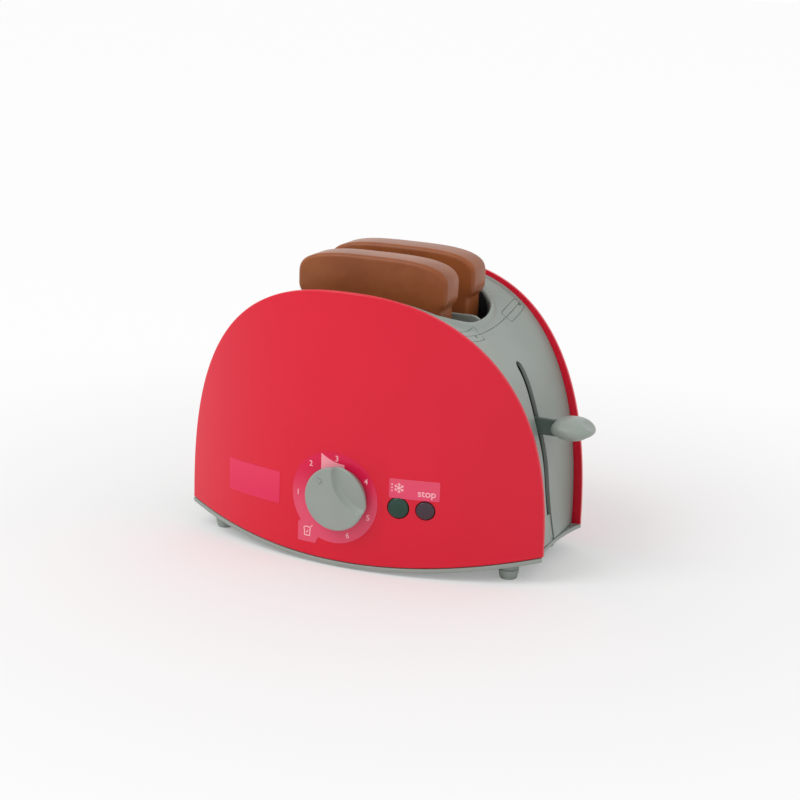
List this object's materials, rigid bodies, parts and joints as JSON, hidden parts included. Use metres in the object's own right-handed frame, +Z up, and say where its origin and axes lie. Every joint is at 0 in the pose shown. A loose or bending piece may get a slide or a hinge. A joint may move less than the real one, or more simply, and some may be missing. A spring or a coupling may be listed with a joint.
{
  "type": "toy toaster",
  "caption": "Red and grey toy toaster with a pop-up carriage, side lever, timer knob, defrost and stop buttons and slices of toast.",
  "frame": {"origin": "on the table under the feet, in the middle of the toaster's bounding box with its lever and knob", "axes": "+X along the toaster towards the lever, -Y towards the side with the knob and buttons, +Z up"},
  "size_m": [0.2026, 0.1168, 0.1483],
  "materials": {
    "grey_plastic": "satin moulded grey plastic with a green cast",
    "red_plastic": "glossy red plastic",
    "dark_plastic": "matte charcoal plastic",
    "green_plastic": "glossy dark green plastic",
    "plum_plastic": "glossy dark plum plastic",
    "toast_brown": "matte brown plastic, paler on the cut faces",
    "foot_rubber": "matte dark rubber",
    "steel": "plain steel wire and rod"
  },
  "bodies": {
    "shell": {"base_plate": "grey_plastic", "foot_front_left": "foot_rubber", "foot_front_right": "foot_rubber", "foot_rear_left": "foot_rubber", "foot_rear_right": "foot_rubber", "base_screw_front_left": "steel", "base_screw_front_right": "steel", "base_screw_rear_left": "steel", "base_screw_rear_right": "steel", "housing": "grey_plastic", "top_cover": "grey_plastic", "front_panel": "red_plastic", "rear_panel": "red_plastic", "bread_guide": "dark_plastic", "guide_rod_left": "steel", "guide_rod_right": "steel", "lift_spring_left": "steel", "lift_spring_right": "steel", "click_spring": "steel", "defrost_spring": "steel", "stop_spring": "steel", "latch_pin": "steel"},
    "lever": {"carriage": "dark_plastic", "lever_handle": "grey_plastic"},
    "front_slice": {"toast_front": "toast_brown"},
    "rear_slice": {"toast_rear": "toast_brown"},
    "knob": {"timer_knob": "grey_plastic", "knob_spindle": "dark_plastic", "spindle_clip": "steel"},
    "defrost": {"defrost_button": "green_plastic"},
    "stop": {"stop_button": "plum_plastic"},
    "latch": {"latch_hook": "dark_plastic"}
  },
  "joints": [
    {"name": "lever_slide", "type": "slide", "parent": "shell", "child": "lever", "axis": [0, 0, 1], "range_m": [-0.04, 0.022], "stiffness_N_per_m": 150, "springref_m": 0.0163, "deforming": ["lift_spring_left", "lift_spring_right"]},
    {"name": "front_toast_lift", "type": "slide", "parent": "lever", "child": "front_slice", "axis": [0, 0, 1], "range_m": [0, 0.09]},
    {"name": "rear_toast_lift", "type": "slide", "parent": "lever", "child": "rear_slice", "axis": [0, 0, 1], "range_m": [0, 0.09]},
    {"name": "knob_turn", "type": "hinge", "parent": "shell", "child": "knob", "pos_m": [-0.0063, -0.0584, 0.0365], "axis": [0, 1, 0], "range_deg": [-125, 174]},
    {"name": "defrost_press", "type": "slide", "parent": "shell", "child": "defrost", "axis": [0, 1, 0], "range_m": [0, 0.0016], "stiffness_N_per_m": 300, "deforming": ["defrost_spring"]},
    {"name": "stop_press", "type": "slide", "parent": "shell", "child": "stop", "axis": [0, 1, 0], "range_m": [0, 0.0016], "stiffness_N_per_m": 300, "deforming": ["stop_spring"]},
    {"name": "latch_swing", "type": "hinge", "parent": "shell", "child": "latch", "pos_m": [0.0342, -0.03428, 0.0425], "axis": [1, 0, 0], "range_deg": [0, 11.4]}
  ],
  "couplings": [
    {"joint": "latch_swing", "follows": "stop_press", "rad_per_m": 123.46}
  ]
}
